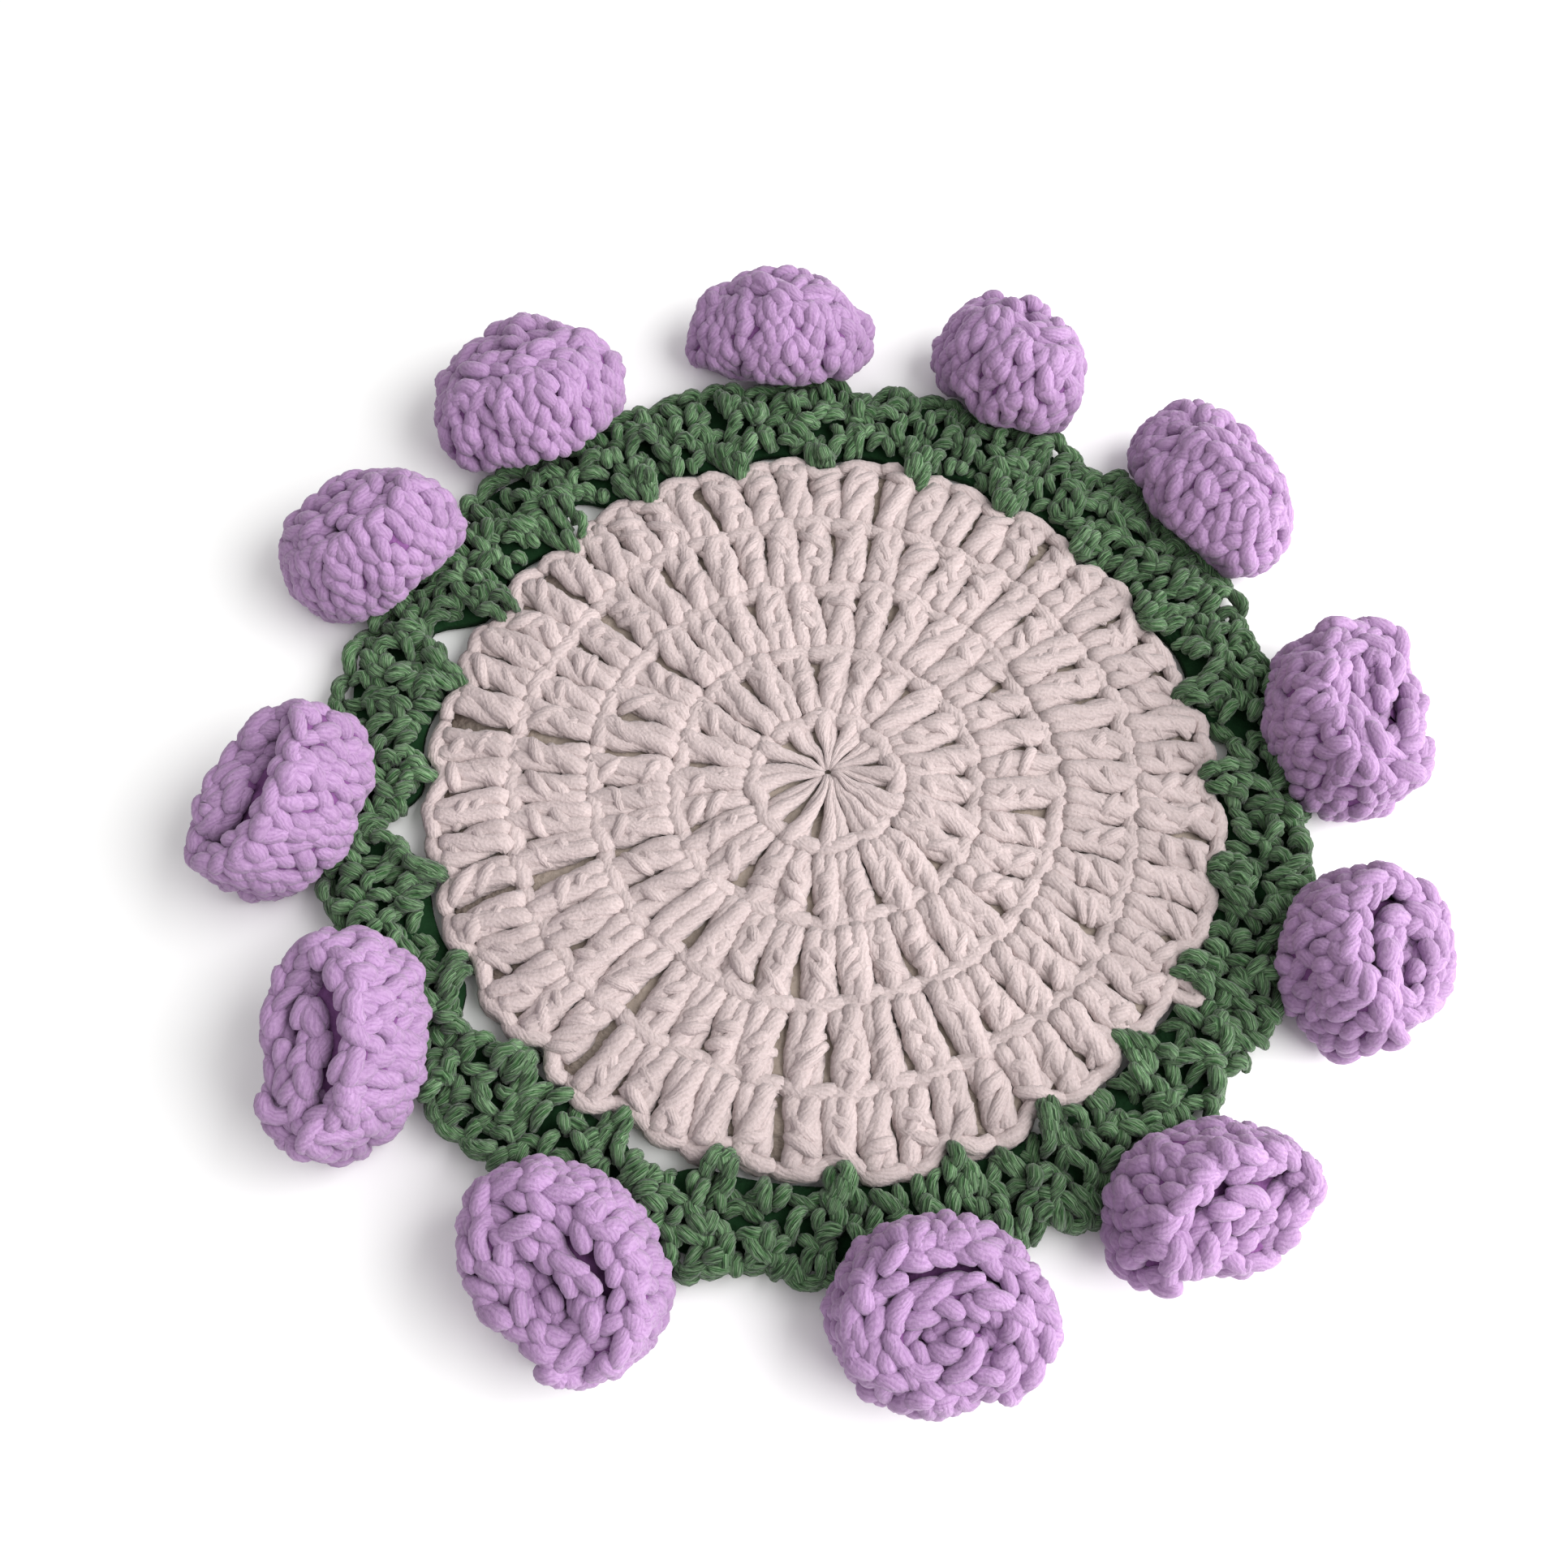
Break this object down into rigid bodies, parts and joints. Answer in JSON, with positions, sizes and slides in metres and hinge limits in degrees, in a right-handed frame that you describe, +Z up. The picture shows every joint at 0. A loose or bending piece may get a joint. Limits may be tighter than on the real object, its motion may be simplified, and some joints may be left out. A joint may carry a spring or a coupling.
{
  "type": "crochet coaster",
  "caption": "Round crocheted cotton coaster: a flat cream mat with a green openwork border and rolled lilac rosebuds sewn round its rim, for standing a cup on.",
  "frame": {"origin": "centre of the mat's underside, on the surface that the coaster lies on", "axes": "+Z up, out of the mat's upper face, where the cup stands; +X and +Y lie in the plane of the mat"},
  "size_m": [0.1582, 0.1617, 0.0191],
  "materials": {
    "cream_cotton": "matte",
    "green_cotton": "matte",
    "lilac_cotton": "matte"
  },
  "bodies": {
    "root": {"disc": "cream_cotton", "border": "green_cotton", "bud_01": "lilac_cotton", "bud_02": "lilac_cotton", "bud_03": "lilac_cotton", "bud_04": "lilac_cotton", "bud_05": "lilac_cotton", "bud_06": "lilac_cotton", "bud_07": "lilac_cotton", "bud_08": "lilac_cotton", "bud_09": "lilac_cotton", "bud_10": "lilac_cotton", "bud_11": "lilac_cotton", "bud_12": "lilac_cotton"}
  },
  "joints": []
}
